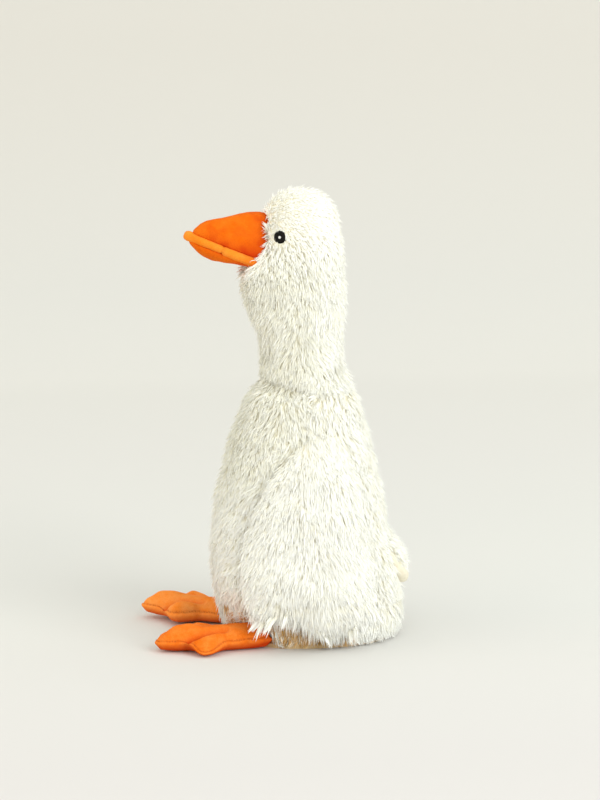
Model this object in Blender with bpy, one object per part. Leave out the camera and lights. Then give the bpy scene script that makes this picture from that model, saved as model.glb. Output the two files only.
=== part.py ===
"""A seated plush goose: a stuffed long-pile body with a suede-cloth beak and webbed feet.

The goose faces -Y, its left side is +X and +Z is up. The origin is on the floor, under the
centre of the goose's bounding box. All lengths are in metres and all angles in degrees.
"""

import math

import bmesh
import bpy
from mathutils import Matrix, Vector

# Clearances
SEAM_GAP = 0.0003

# Base panel, the round of cloth that the goose sits on
BASE_THICKNESS = 0.0030
BASE_INSET = 0.0040

# Torso, from the base panel up to the neck seam
TORSO_HEIGHT = 0.1830
TORSO_BOTTOM_FRONT = 0.0560
TORSO_BOTTOM_BACK = 0.0665
TORSO_BOTTOM_SIDE = 0.0510
BELLY_FRONT = 0.0670
RUMP_BACK = 0.0712
TORSO_SIDE = 0.0580
TORSO_SQUARENESS = 2.25

# Neck, from its seam on the torso up to the head seam
NECK_HEIGHT = 0.0790
NECK_SEAM_FRONT = 0.0400
NECK_SEAM_BACK = 0.0355
NECK_SEAM_SIDE = 0.0350
NECK_WAIST_FRONT = 0.0340
NECK_WAIST_BACK = 0.0300
NECK_WAIST_SIDE = 0.0300

# Head, from its seam on the neck up to the crown
HEAD_HEIGHT = 0.0638
HEAD_SEAM_FRONT = 0.0480
HEAD_SEAM_BACK = 0.0290
HEAD_SEAM_SIDE = 0.0290
FACE_FRONT = 0.0360
HEAD_BACK = 0.0280
HEAD_SIDE = 0.0280

# Pile relief: rows of pointed locks that overlap like shingles
LOCK_LENGTH = 0.0205
LOCK_WIDTH = 0.0200
TORSO_LOCK_LIFT = 0.0046
NECK_LOCK_LIFT = 0.0032
WING_LOCK_LIFT = 0.0046

# Wing, a padded flap that hangs from the shoulder along the side of the torso
WING_SHOULDER = 0.1600
WING_HEM = 0.0110
WING_FRONT_LOBE = 0.0110
WING_NOTCH = 0.0190
WING_THICKNESS = 0.0120
WING_EDGE = 0.0030
WING_BED = 0.0012
WING_LOCK_ROWS = 6
WING_LOCK_COLUMNS = 4
WING_FRONT_ANGLE = 50.0
WING_BACK_ANGLE = 126.0
WING_TOP_FRONT_ANGLE = 80.0
WING_TOP_BACK_ANGLE = 120.0

# Tail, a small stuffed pad of two panels on the rump
TAIL_LENGTH = 0.0535
TAIL_WIDTH = 0.0370
TAIL_THICKNESS = 0.0170
TAIL_LINING_SHARE = 0.45
TAIL_ROOT_HEIGHT = 0.0829
TAIL_ROOT_BACK = 0.0383
TAIL_DROOP = 57.0

# Beak, in a frame at the corners of the mouth: an upper and a lower jaw with a padded lip between
MOUTH_HEIGHT = 0.2810
MOUTH_FRONT = 0.0382
MOUTH_RISE = 21.6
BEAK_LENGTH = 0.0470
BEAK_SEAT = 0.0110
BEAK_UPPER_HEIGHT = 0.0318
BEAK_LOWER_DEPTH = 0.0067
BEAK_HALF_WIDTH = 0.0155
LIP_THICKNESS = 0.0054
LIP_OVERHANG = 0.0014
LIP_KNOB_RADIUS = 0.0032
LIP_KNOB_REACH = 0.0048

# Eyes, raised discs of black stitching with a white centre
EYE_RADIUS = 0.0048
EYE_GLINT_RADIUS = 0.0012
EYE_THICKNESS = 0.0022
EYE_STAND = 0.0009
EYE_HEIGHT = 0.0295
EYE_ANGLE = 52.0

# Feet: an upper and a sole panel, sewn together round three webbed toes
FOOT_LENGTH = 0.0850
ANKLE_LENGTH = 0.0430
ANKLE_HALF_WIDTH = 0.0150
MIDDLE_TOE_HALF_WIDTH = 0.0088
TOE_NOTCH = (0.0205, 0.0130)
SIDE_TOE_TIP = (0.0095, 0.0270)
SIDE_TOE_HALF_WIDTH = 0.0060
SIDE_TOE_BACK = (-0.0040, 0.0195)
FOOT_SEAM_HEIGHT = 0.0070
FOOT_RISE = 0.0097
FOOT_EDGE = 0.0006
HEEL_SIDE = 0.0330
LEFT_HEEL_FRONT = 0.0310
RIGHT_HEEL_FRONT = 0.0380
LEFT_FOOT_SPLAY = 5.0
RIGHT_FOOT_SPLAY = 22.0
LEFT_FOOT_PITCH = 0.0
RIGHT_FOOT_PITCH = 2.0

# Mesh density
TORSO_SIDES = 60
NECK_SIDES = 36
HEAD_SIDES = 36
RINGS_PER_LOCK = 3
EYE_STEPS = 16
FOOT_ANGLES = 48

COLLECTION = "plush_goose"
CUTTERS = "cutters"

# Colours as linear RGB, with roughness
FINISHES = {
    "white_pile": ((0.86, 0.86, 0.78), 0.95),
    "cream_lining": ((0.80, 0.74, 0.60), 0.85),
    "orange_suede": ((0.93, 0.20, 0.016), 0.80),
    "black_thread": ((0.010, 0.010, 0.010), 0.55),
    "white_thread": ((0.85, 0.85, 0.85), 0.60),
}


def clear_scene():
    """Removes what the scene holds and makes the two collections."""
    for thing in list(bpy.data.objects):
        bpy.data.objects.remove(thing)
    for name in (COLLECTION, CUTTERS):
        made = bpy.data.collections.new(name)
        bpy.context.scene.collection.children.link(made)


def finish(name):
    """The material of that name, made on first use."""
    if name in bpy.data.materials:
        return bpy.data.materials[name]
    colour, roughness = FINISHES[name]
    made = bpy.data.materials.new(name)
    made.use_nodes = True
    shader = made.node_tree.nodes["Principled BSDF"]
    shader.inputs["Base Color"].default_value = (*colour, 1.0)
    shader.inputs["Roughness"].default_value = roughness
    shader.inputs["Metallic"].default_value = 0.0
    return made


def add_object(name, mesh, material=None):
    """Links a mesh as a sub-part of the goose or, with no material, as a cutter."""
    made = bpy.data.objects.new(name, mesh)
    bpy.data.collections[COLLECTION if material else CUTTERS].objects.link(made)
    if material:
        mesh.materials.append(finish(material))
        mesh.shade_smooth()
        mesh.set_sharp_from_angle(angle=math.radians(50))
    else:
        made.hide_render = True
        made.display_type = "WIRE"
    return made


def add_solid(name, build, material=None):
    """Makes an object from a bmesh, with its faces pointing out."""
    bmesh.ops.remove_doubles(build, verts=build.verts, dist=1e-6)
    bmesh.ops.recalc_face_normals(build, faces=build.faces)
    mesh = bpy.data.meshes.new(name)
    build.to_mesh(mesh)
    build.free()
    return add_object(name, mesh, material)


def smooth_value(knots, at):
    """The value at a place on a smooth curve through (place, value) knots."""
    places = [place for place, _ in knots]
    values = [value for _, value in knots]
    if at <= places[0]:
        return values[0]
    if at >= places[-1]:
        return values[-1]
    i = max(k for k in range(len(places) - 1) if places[k] <= at)

    def slope(k):
        low, high = max(k - 1, 0), min(k + 1, len(places) - 1)
        return (values[high] - values[low]) / (places[high] - places[low])

    span = places[i + 1] - places[i]
    t = (at - places[i]) / span
    return (
        values[i] * (1 + 2 * t) * (1 - t) ** 2
        + values[i + 1] * t * t * (3 - 2 * t)
        + slope(i) * span * t * (1 - t) ** 2
        - slope(i + 1) * span * t * t * (1 - t)
    )


def skin_between(build, lower, upper):
    """Quads between two rings of as many vertices."""
    count = len(lower)
    for i in range(count):
        j = (i + 1) % count
        build.faces.new((lower[i], lower[j], upper[j], upper[i]))


def loft(name, rings, material=None, apex=None):
    """A closed skin over rings of points. The last ring ends flat or, with an apex, at a point."""
    build = bmesh.new()
    made = [[build.verts.new(point) for point in ring] for ring in rings]
    for lower, upper in zip(made, made[1:]):
        skin_between(build, lower, upper)
    build.faces.new(made[0])
    if apex is None:
        build.faces.new(made[-1])
    else:
        top = build.verts.new(apex)
        last = made[-1]
        for i, vertex in enumerate(last):
            build.faces.new((vertex, last[(i + 1) % len(last)], top))
    return add_solid(name, build, material)


def pad(name, outer, inner, material=None):
    """A closed cushion between two grids of points, with a wall round their edges."""
    build = bmesh.new()
    rows, columns = len(outer), len(outer[0])
    faces = [[[build.verts.new(point) for point in row] for row in grid] for grid in (outer, inner)]
    for grid in faces:
        for r in range(rows - 1):
            for c in range(columns - 1):
                build.faces.new((grid[r][c], grid[r][c + 1], grid[r + 1][c + 1], grid[r + 1][c]))
    rims = []
    for grid in faces:
        rim = list(grid[0])
        rim += [row[-1] for row in grid[1:-1]]
        rim += list(reversed(grid[-1]))
        rim += [row[0] for row in reversed(grid[1:-1])]
        rims.append(rim)
    skin_between(build, *rims)
    return add_solid(name, build, material)


class Form:
    """A stuffed form: how far it reaches to the front, back and side at each share of its height."""

    def __init__(self, bottom, height, front, back, side, squareness=2.0):
        self.bottom = bottom
        self.height = height
        self.front = front
        self.back = back
        self.side = side
        self.squareness = squareness

    def share_at(self, z):
        return (z - self.bottom) / self.height

    def point(self, share, angle, lift=0.0):
        """A point on the surface. The angle turns from the front, at 0, by the left side, at 90."""
        turn = math.radians(angle)
        power = 2.0 / self.squareness
        ahead, aside = math.cos(turn), math.sin(turn)
        reach = smooth_value(self.front if ahead > 0 else self.back, share)
        half = smooth_value(self.side, share)
        x = half * math.copysign(abs(aside) ** power, aside)
        y = -reach * math.copysign(abs(ahead) ** power, ahead)
        away = Vector((aside / half, -ahead / reach, 0.0)).normalized()
        return Vector((x, y, self.bottom + share * self.height)) + away * lift

    def normal(self, share, angle):
        """The surface's outward direction, from two tangents."""
        step = 0.01
        round_it = self.point(share, angle + 1.0) - self.point(share, angle - 1.0)
        up_it = self.point(share + step, angle) - self.point(share - step, angle)
        return round_it.cross(up_it).normalized()


def lock_relief(row_place, column_place):
    """How proud the pile stands, from 0 to 1, on staggered rows of pointed locks."""
    row = math.floor(row_place)
    along = 1.0 - (row_place - row)
    across = abs(2.0 * ((column_place + 0.5 * (row % 2)) % 1.0) - 1.0)
    tip = 1.0 - 0.45 * across
    if along > tip:
        return 0.0
    return (along / tip) ** 1.3 * (1.0 - 0.4 * across * across)


def locked_rings(form, sides, lift, calm, bed=0.0):
    """Rings over a form with lock relief. Where calm(share, angle) fades to 0 they sink by bed."""
    rows = max(2, round(form.height / LOCK_LENGTH))
    around = 2.0 * math.pi * smooth_value(form.side, 0.5)
    columns = 2 * max(3, round(around / LOCK_WIDTH / 2))
    rings = []
    for i in range(rows * RINGS_PER_LOCK + 1):
        share = i / (rows * RINGS_PER_LOCK)
        ring = []
        for j in range(sides):
            angle = 360.0 * j / sides
            proud = lock_relief(share * rows + 1e-6, columns * j / sides)
            open_pile = calm(share, angle)
            fade = min(1.0, 6.0 * share, 6.0 * (1.0 - share)) * open_pile
            ring.append(form.point(share, angle, lift * proud * fade - bed * (1.0 - open_pile)))
        rings.append(ring)
    return rings


def between(low, high, share):
    """The value that share of the way from low to high."""
    return low + (high - low) * share


# The three stuffed forms, one above the other

TORSO_BOTTOM = BASE_THICKNESS + SEAM_GAP
NECK_BOTTOM = TORSO_BOTTOM + TORSO_HEIGHT + SEAM_GAP
HEAD_BOTTOM = NECK_BOTTOM + NECK_HEIGHT + SEAM_GAP

TORSO = Form(
    TORSO_BOTTOM,
    TORSO_HEIGHT,
    front=[
        (0.00, TORSO_BOTTOM_FRONT),
        (0.12, between(TORSO_BOTTOM_FRONT, BELLY_FRONT, 0.80)),
        (0.40, BELLY_FRONT),
        (0.62, between(NECK_SEAM_FRONT, BELLY_FRONT, 0.80)),
        (0.82, between(NECK_SEAM_FRONT, BELLY_FRONT, 0.42)),
        (1.00, NECK_SEAM_FRONT),
    ],
    back=[
        (0.00, TORSO_BOTTOM_BACK),
        (0.12, RUMP_BACK),
        (0.35, between(NECK_SEAM_BACK, RUMP_BACK, 0.74)),
        (0.62, between(NECK_SEAM_BACK, RUMP_BACK, 0.46)),
        (0.85, between(NECK_SEAM_BACK, RUMP_BACK, 0.18)),
        (1.00, NECK_SEAM_BACK),
    ],
    side=[
        (0.00, TORSO_BOTTOM_SIDE),
        (0.14, between(TORSO_BOTTOM_SIDE, TORSO_SIDE, 0.92)),
        (0.32, TORSO_SIDE),
        (0.60, between(NECK_SEAM_SIDE, TORSO_SIDE, 0.76)),
        (0.84, between(NECK_SEAM_SIDE, TORSO_SIDE, 0.30)),
        (1.00, NECK_SEAM_SIDE),
    ],
    squareness=TORSO_SQUARENESS,
)

NECK = Form(
    NECK_BOTTOM,
    NECK_HEIGHT,
    front=[
        (0.00, NECK_SEAM_FRONT),
        (0.22, NECK_WAIST_FRONT),
        (0.45, between(NECK_WAIST_FRONT, HEAD_SEAM_FRONT, 0.12)),
        (0.72, between(NECK_WAIST_FRONT, HEAD_SEAM_FRONT, 0.70)),
        (1.00, HEAD_SEAM_FRONT),
    ],
    back=[
        (0.00, NECK_SEAM_BACK),
        (0.40, NECK_WAIST_BACK),
        (1.00, HEAD_SEAM_BACK),
    ],
    side=[
        (0.00, NECK_SEAM_SIDE),
        (0.35, NECK_WAIST_SIDE),
        (1.00, HEAD_SEAM_SIDE),
    ],
)

HEAD = Form(
    HEAD_BOTTOM,
    HEAD_HEIGHT,
    front=[
        (0.00, HEAD_SEAM_FRONT),
        (0.12, between(FACE_FRONT, HEAD_SEAM_FRONT, 0.80)),
        (0.30, FACE_FRONT),
        (0.60, 0.97 * FACE_FRONT),
        (0.80, 0.80 * FACE_FRONT),
        (0.93, 0.52 * FACE_FRONT),
        (1.00, 0.16 * FACE_FRONT),
    ],
    back=[
        (0.00, HEAD_SEAM_BACK),
        (0.40, HEAD_BACK),
        (0.66, 0.92 * HEAD_BACK),
        (0.85, 0.68 * HEAD_BACK),
        (0.95, 0.42 * HEAD_BACK),
        (1.00, 0.16 * HEAD_BACK),
    ],
    side=[
        (0.00, HEAD_SEAM_SIDE),
        (0.45, HEAD_SIDE),
        (0.68, 0.93 * HEAD_SIDE),
        (0.85, 0.70 * HEAD_SIDE),
        (0.95, 0.44 * HEAD_SIDE),
        (1.00, 0.17 * HEAD_SIDE),
    ],
)


def wing_angles(share):
    """The torso angles of the wing's front and back edges, from its hem, at 0, to its shoulder."""
    front = smooth_value(
        [
            (0.00, WING_FRONT_ANGLE + 5.0),
            (0.20, WING_FRONT_ANGLE),
            (0.62, WING_FRONT_ANGLE + 2.0),
            (0.80, between(WING_FRONT_ANGLE, WING_TOP_FRONT_ANGLE, 0.50)),
            (0.93, WING_TOP_FRONT_ANGLE),
            (1.00, WING_TOP_FRONT_ANGLE + 10.0),
        ],
        share,
    )
    back = smooth_value(
        [
            (0.00, WING_BACK_ANGLE - 12.0),
            (0.15, WING_BACK_ANGLE),
            (0.60, WING_BACK_ANGLE - 1.0),
            (0.93, WING_TOP_BACK_ANGLE),
            (1.00, WING_TOP_BACK_ANGLE - 10.0),
        ],
        share,
    )
    return front, back


def wing_hem(across):
    """The hem's height: a short front lobe, a notch, and a longer lobe behind it."""
    return WING_HEM + smooth_value(
        [
            (0.00, WING_NOTCH),
            (0.18, WING_FRONT_LOBE),
            (0.34, WING_NOTCH),
            (0.50, 0.4 * WING_NOTCH),
            (0.72, 0.0),
            (0.88, 0.4 * WING_NOTCH),
            (1.00, WING_NOTCH),
        ],
        across,
    )


def under_wing(share, angle):
    """1 clear of the wings and 0 under them, where the pile lies flat."""
    z = TORSO.bottom + share * TORSO.height
    margin = 6.0
    if not WING_HEM - LOCK_LENGTH / 2 < z < WING_SHOULDER + LOCK_LENGTH / 2:
        return 1.0
    front, back = wing_angles((z - WING_HEM) / (WING_SHOULDER - WING_HEM))
    side_angle = angle if angle <= 180.0 else 360.0 - angle
    outside = max(front - margin - side_angle, side_angle - back - margin)
    return min(1.0, max(0.0, outside / margin))


def add_torso():
    rings = locked_rings(TORSO, TORSO_SIDES, TORSO_LOCK_LIFT, under_wing, bed=WING_BED)
    return loft("torso", rings, "white_pile")


def add_base_panel():
    """The flat round of cloth under the torso."""
    ring = [TORSO.point(0.0, 360.0 * j / TORSO_SIDES, -BASE_INSET) for j in range(TORSO_SIDES)]
    bottom = [Vector((p.x, p.y, 0.0)) for p in ring]
    top = [Vector((p.x, p.y, BASE_THICKNESS)) for p in ring]
    return loft("base_panel", [bottom, top], "white_pile")


def add_neck():
    rings = locked_rings(NECK, NECK_SIDES, NECK_LOCK_LIFT, lambda share, angle: 1.0)
    return loft("neck", rings, "white_pile")


def add_head():
    """The short-pile head, closed at the crown."""
    shares = [0.0, 0.12, 0.24, 0.38, 0.53, 0.66, 0.78, 0.88, 0.95, 1.0]
    rings = [
        [HEAD.point(share, 360.0 * j / HEAD_SIDES) for j in range(HEAD_SIDES)] for share in shares
    ]
    crown = Vector((0.0, 0.0, HEAD.bottom + HEAD.height * 1.004))
    return loft("head", rings, "white_pile", apex=crown)


def add_wing(name, side):
    """A padded flap on the torso's surface, with a lobed hem. The side is 1 on the left."""
    rows, columns = RINGS_PER_LOCK * WING_LOCK_ROWS, RINGS_PER_LOCK * WING_LOCK_COLUMNS
    outer, inner = [], []
    for r in range(rows + 1):
        down = r / rows
        outer_row, inner_row = [], []
        for c in range(columns + 1):
            across = c / columns
            hem = wing_hem(across)
            z = between(hem, WING_SHOULDER, down)
            front, back = wing_angles((z - WING_HEM) / (WING_SHOULDER - WING_HEM))
            angle = between(front, back, across)
            share = TORSO.share_at(z)
            swell = (1.0 - abs(2.0 * across - 1.0) ** 3) * min(1.0, 5.0 * down + 0.25)
            swell *= min(1.0, 3.0 * (1.0 - down) + 0.30)
            proud = lock_relief(WING_LOCK_ROWS * down + 1e-6, WING_LOCK_COLUMNS * across)
            locks = proud * WING_LOCK_LIFT * swell
            thick = WING_EDGE + (WING_THICKNESS - WING_EDGE) * swell + locks
            outward = TORSO.normal(share, angle)
            root = TORSO.point(share, angle) + outward * SEAM_GAP
            for row, point in ((outer_row, root + outward * thick), (inner_row, root)):
                row.append(Vector((side * point.x, point.y, point.z)))
        outer.append(outer_row)
        inner.append(inner_row)
    return pad(name, outer, inner, "white_pile")


def tail_frame():
    """Places the tail's own frame: +X across, +Y towards the tip and +Z to its upper side."""
    root = Vector((0.0, TAIL_ROOT_BACK, TAIL_ROOT_HEIGHT))
    return Matrix.Translation(root) @ Matrix.Rotation(math.radians(-TAIL_DROOP), 4, "X")


def tail_pad(name, top_share, bottom_share, grow=0.0, material=None):
    """One layer of the tail, from a share of its thickness up to another."""
    rows, columns = 7, 6
    place = tail_frame()
    outer, inner = [], []
    for r in range(rows + 1):
        along = r / rows
        half = smooth_value([(0.0, 0.80), (0.4, 1.0), (0.8, 0.88), (0.95, 0.70), (1.0, 0.50)], along)
        half = half * TAIL_WIDTH / 2 + grow
        swell = smooth_value([(0.0, 0.80), (0.5, 1.0), (0.9, 0.92), (1.0, 0.66)], along)
        y = along * (TAIL_LENGTH + grow)
        rows_made = ([], [])
        for c in range(columns + 1):
            across = 2.0 * c / columns - 1.0
            round_edge = math.sqrt(max(0.0, 1.0 - across * across)) * 0.85 + 0.15
            reach = TAIL_THICKNESS * swell * round_edge
            middle = TAIL_THICKNESS * TAIL_LINING_SHARE
            top = middle + (top_share * TAIL_THICKNESS - middle) * reach / TAIL_THICKNESS
            low = middle + (bottom_share * TAIL_THICKNESS - middle) * reach / TAIL_THICKNESS
            rows_made[0].append(place @ Vector((across * half, y, top + grow)))
            rows_made[1].append(place @ Vector((across * half, y, low - grow)))
        outer.append(rows_made[0])
        inner.append(rows_made[1])
    return pad(name, outer, inner, material)


def add_tail():
    """The tail's pile panel, and the smooth lining under it."""
    gap_share = SEAM_GAP / TAIL_THICKNESS
    tail_pad("tail_top", 1.0, TAIL_LINING_SHARE + gap_share, material="white_pile")
    tail_pad("tail_lining", TAIL_LINING_SHARE, 0.0, material="cream_lining")
    return tail_pad("tail_pocket", 1.0, 0.0, grow=SEAM_GAP)


def beak_station(along):
    """Half width, upper height and lower depth at a share of the mouth's length."""
    half = BEAK_HALF_WIDTH * smooth_value(
        [(-0.25, 1.0), (0.30, 0.95), (0.60, 0.79), (0.80, 0.63), (0.92, 0.47), (0.98, 0.30), (1.0, 0.15)],
        along,
    )
    upper = BEAK_UPPER_HEIGHT * smooth_value(
        [
            (-0.25, 0.98),
            (0.08, 1.00),
            (0.30, 0.89),
            (0.43, 0.78),
            (0.61, 0.58),
            (0.73, 0.475),
            (0.84, 0.38),
            (0.93, 0.26),
            (0.985, 0.11),
            (1.0, 0.04),
        ],
        along,
    )
    lower = BEAK_LOWER_DEPTH * smooth_value(
        [(-0.25, 0.1), (0.0, 0.2), (0.25, 0.48), (0.41, 0.80), (0.60, 1.0), (0.77, 0.86), (0.92, 0.4), (1.0, 0.08)],
        along,
    )
    return half, upper, lower


def beak_pad(name, surface, rows, columns, seat, reach=1.0, grow=0.0, material=None):
    """A layer of the beak. surface(along, across) gives its half width, top and bottom."""
    place = Matrix.Translation((0.0, -MOUTH_FRONT, MOUTH_HEIGHT))
    place = place @ Matrix.Rotation(math.radians(-MOUTH_RISE), 4, "X")
    start = -seat / BEAK_LENGTH
    outer, inner = [], []
    for r in range(rows + 1):
        along = between(start, reach, math.sin(math.radians(90.0 * r / rows)))
        end_grow = grow if r == rows else -grow if r == 0 else 0.0
        rows_made = ([], [])
        for c in range(columns + 1):
            across = math.sin(math.radians(90.0 * (2.0 * c / columns - 1.0)))
            half, top, low = surface(along, across)
            y = -along * BEAK_LENGTH - end_grow
            for made, z in zip(rows_made, (top + grow, low - grow)):
                made.append(place @ Vector((across * (half + grow), y, z)))
        outer.append(rows_made[0])
        inner.append(rows_made[1])
    return pad(name, outer, inner, material)


def dome(across):
    """The height share of a jaw's round section."""
    return (1.0 - min(1.0, abs(across)) ** 2.4) ** 0.55


def upper_surface(along, across):
    half, upper, _ = beak_station(along)
    return half, SEAM_GAP + 0.0006 + upper * dome(across), SEAM_GAP


def lower_surface(along, across):
    half, _, lower = beak_station(along)
    top = -LIP_THICKNESS - SEAM_GAP
    return half, top, top - 0.0006 - lower * dome(across)


def lip_surface(along, across):
    """The lip is a slab with a round rim. Past the beak's tip it narrows to a knob."""
    wide = beak_station(min(along, 1.0))[0] + LIP_OVERHANG
    thick = LIP_THICKNESS
    past = (along - 0.93) / (LIP_REACH - 0.93)
    if past > 0.0:
        round_off = math.sqrt(max(0.0, 1.0 - 1.2 * max(0.0, past - 0.35) ** 2))
        wide = between(wide, LIP_KNOB_RADIUS, min(1.0, 1.6 * past)) * round_off
        thick = between(thick, 2.0 * LIP_KNOB_RADIUS, min(1.0, 1.6 * past)) * round_off
    rim = 0.5 * thick * (0.40 + 0.60 * math.sqrt(max(0.0, 1.0 - abs(across) ** 5)))
    if past <= 0.0:
        rim = min(rim, LIP_THICKNESS / 2)
    middle = -LIP_THICKNESS / 2
    return wide, middle + rim, middle - rim


LIP_REACH = (BEAK_LENGTH + LIP_KNOB_REACH) / BEAK_LENGTH


def add_beak():
    """The two jaws and the lip. Returns the cutters of their seats in the face."""
    layers = (
        ("beak_upper", (upper_surface, 10, 8, BEAK_SEAT)),
        ("beak_lip", (lip_surface, 11, 6, 0.92 * BEAK_SEAT, LIP_REACH)),
        ("beak_lower", (lower_surface, 9, 6, 0.84 * BEAK_SEAT)),
    )
    cutters = []
    for name, shape in layers:
        beak_pad(name, *shape, material="orange_suede")
        cutters.append(beak_pad(name + "_seat", *shape, grow=SEAM_GAP))
    return cutters


def add_disc(name, place, radius, low, high, crown, material=None, hole=0.0):
    """A round pad along a frame's +Z, with a domed top and, if asked, a hole through it."""
    profile = [
        (max(hole, 0.0), low),
        (radius, low),
        (radius, between(low, high, 0.45)),
        (0.93 * radius, between(low, high, 0.80)),
        (0.70 * radius, high),
        (max(hole, 0.0), high + crown),
    ]
    build = bmesh.new()
    points = [build.verts.new((r, 0.0, z)) for r, z in profile]
    edges = [build.edges.new(pair) for pair in zip(points, points[1:])]
    if hole:
        edges.append(build.edges.new((points[-1], points[0])))
    bmesh.ops.spin(
        build,
        geom=points + edges,
        cent=(0.0, 0.0, 0.0),
        axis=(0.0, 0.0, 1.0),
        angle=2.0 * math.pi,
        steps=EYE_STEPS,
        use_merge=True,
    )
    build.transform(place)
    return add_solid(name, build, material)


def add_eye(tag, side):
    """An embroidered eye: a black ring and its white centre. Returns the cutter of its seat."""
    share = EYE_HEIGHT / HEAD_HEIGHT
    centre = HEAD.point(share, EYE_ANGLE)
    outward = HEAD.normal(share, EYE_ANGLE)
    centre.x *= side
    outward.x *= side
    place = Matrix.Translation(centre) @ outward.to_track_quat("Z", "Y").to_matrix().to_4x4()
    low = EYE_STAND - EYE_THICKNESS
    ring_hole = EYE_GLINT_RADIUS + SEAM_GAP
    add_disc("eye_" + tag, place, EYE_RADIUS, low, EYE_STAND, 0.0002, "black_thread", ring_hole)
    add_disc("eye_glint_" + tag, place, EYE_GLINT_RADIUS, low, EYE_STAND, 0.0003, "white_thread")
    seat_top = 2.0 * EYE_THICKNESS
    return add_disc(
        "eye_seat_" + tag, place, EYE_RADIUS + SEAM_GAP, low - SEAM_GAP, seat_top, 0.0
    )


def foot_outline():
    """The foot's edge as (angle, radius) knots about the middle of its web, from 0 to 180."""
    tip = FOOT_LENGTH - ANKLE_LENGTH
    side_x, side_y = SIDE_TOE_TIP
    back_x, back_y = SIDE_TOE_BACK
    spots = [
        (tip, 0.0),
        (0.97 * tip, 0.50 * MIDDLE_TOE_HALF_WIDTH),
        (0.84 * tip, 0.92 * MIDDLE_TOE_HALF_WIDTH),
        (0.62 * tip, 1.12 * MIDDLE_TOE_HALF_WIDTH),
        TOE_NOTCH,
        (side_x + SIDE_TOE_HALF_WIDTH, side_y - 1.1 * SIDE_TOE_HALF_WIDTH),
        (side_x + 0.45 * SIDE_TOE_HALF_WIDTH, side_y - 0.15 * SIDE_TOE_HALF_WIDTH),
        (side_x - 0.45 * SIDE_TOE_HALF_WIDTH, side_y - 0.15 * SIDE_TOE_HALF_WIDTH),
        (back_x, back_y),
        (-0.26 * ANKLE_LENGTH, 1.02 * ANKLE_HALF_WIDTH),
        (-0.60 * ANKLE_LENGTH, ANKLE_HALF_WIDTH),
        (-0.88 * ANKLE_LENGTH, 0.96 * ANKLE_HALF_WIDTH),
        (-ANKLE_LENGTH, 0.72 * ANKLE_HALF_WIDTH),
        (-ANKLE_LENGTH, 0.0),
    ]
    return [(math.degrees(math.atan2(y, x)), math.hypot(x, y)) for x, y in spots]


FOOT_EDGE_KNOTS = foot_outline()


def foot_reach(angle):
    """How far the foot's edge is from the middle of its web, at an angle from the middle toe."""
    return smooth_value(FOOT_EDGE_KNOTS, min(angle % 360.0, 360.0 - angle % 360.0))


def on_ray(angle, reach):
    return Vector((math.cos(math.radians(angle)), math.sin(math.radians(angle)), 0.0)) * reach


def foot_depth(spot):
    """How far a spot of the foot is from its edge."""
    edge = [on_ray(angle, foot_reach(angle)) for angle in range(0, 360, 6)]
    depth = 1.0
    for a, b in zip(edge, edge[1:] + edge[:1]):
        share = max(0.0, min(1.0, (spot - a).dot(b - a) / (b - a).length_squared))
        depth = min(depth, (spot - a - (b - a) * share).length)
    return depth


def foot_height(spot, share, side):
    """The foot's height at a spot, on its top for side 0 and its sole for side 1."""
    inset = 1.0 - min(1.0, foot_depth(spot) / ANKLE_HALF_WIDTH)
    if share >= 1.0:
        inset = 1.0
    if side == 0:
        return FOOT_SEAM_HEIGHT + FOOT_EDGE + FOOT_RISE * (1.0 - inset**2.2) ** 0.6
    return (FOOT_SEAM_HEIGHT - FOOT_EDGE) * (1.0 - (1.0 - inset**4) ** 0.75)


def foot_frame(side, front, splay, pitch):
    """Places a foot's own frame: +X from the heel to the toes and +Z up. Its origin is the web."""
    heel = Vector((side * HEEL_SIDE, -front, 0.0))
    forward = Matrix.Rotation(math.radians(-90.0 + side * splay), 4, "Z")
    lift = Matrix.Rotation(math.radians(-pitch), 4, "Y")
    return Matrix.Translation(heel) @ forward @ lift @ Matrix.Translation((ANKLE_LENGTH, 0.0, 0.0))


def foot_ring(build, place, share, grow, height):
    """A ring of vertices round the web, at a share of the way out. height(spot) gives its z."""
    ring = []
    for j in range(FOOT_ANGLES):
        angle = 360.0 * j / FOOT_ANGLES
        spot = on_ray(angle, foot_reach(angle) * share)
        grown = spot + on_ray(angle, 3.0 * grow * share)
        ring.append(build.verts.new(place @ Vector((grown.x, grown.y, height(spot)))))
    return ring


def foot_sheet(build, place, side, grow=0.0):
    """The foot's curved top or sole, as a sheet of rings. Side 0 is the top and 1 the sole."""
    signed = grow if side == 0 else -grow
    rings = []
    for share in (0.36, 0.68, 0.90, 1.0):
        rings.append(
            foot_ring(
                build, place, share, grow, lambda spot: foot_height(spot, share, side) + signed
            )
        )
    middle = Vector((0.0, 0.0, foot_height(Vector(), 0.0, side) + signed))
    middle = build.verts.new(place @ middle)
    for j, vertex in enumerate(rings[0]):
        build.faces.new((middle, vertex, rings[0][(j + 1) % FOOT_ANGLES]))
    for inside, outside in zip(rings, rings[1:]):
        skin_between(build, inside, outside)
    return rings[-1]


def add_foot_panel(name, place, side):
    """The upper, side 0, or the sole, side 1, closed flat along the foot's seam."""
    build = bmesh.new()
    edge = foot_sheet(build, place, side)
    seam = FOOT_SEAM_HEIGHT + (SEAM_GAP if side == 0 else -SEAM_GAP) / 2
    flat = foot_ring(build, place, 1.0, 0.0, lambda spot: seam)
    skin_between(build, edge, flat)
    build.faces.new(flat)
    return add_solid(name, build, "orange_suede")


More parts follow.
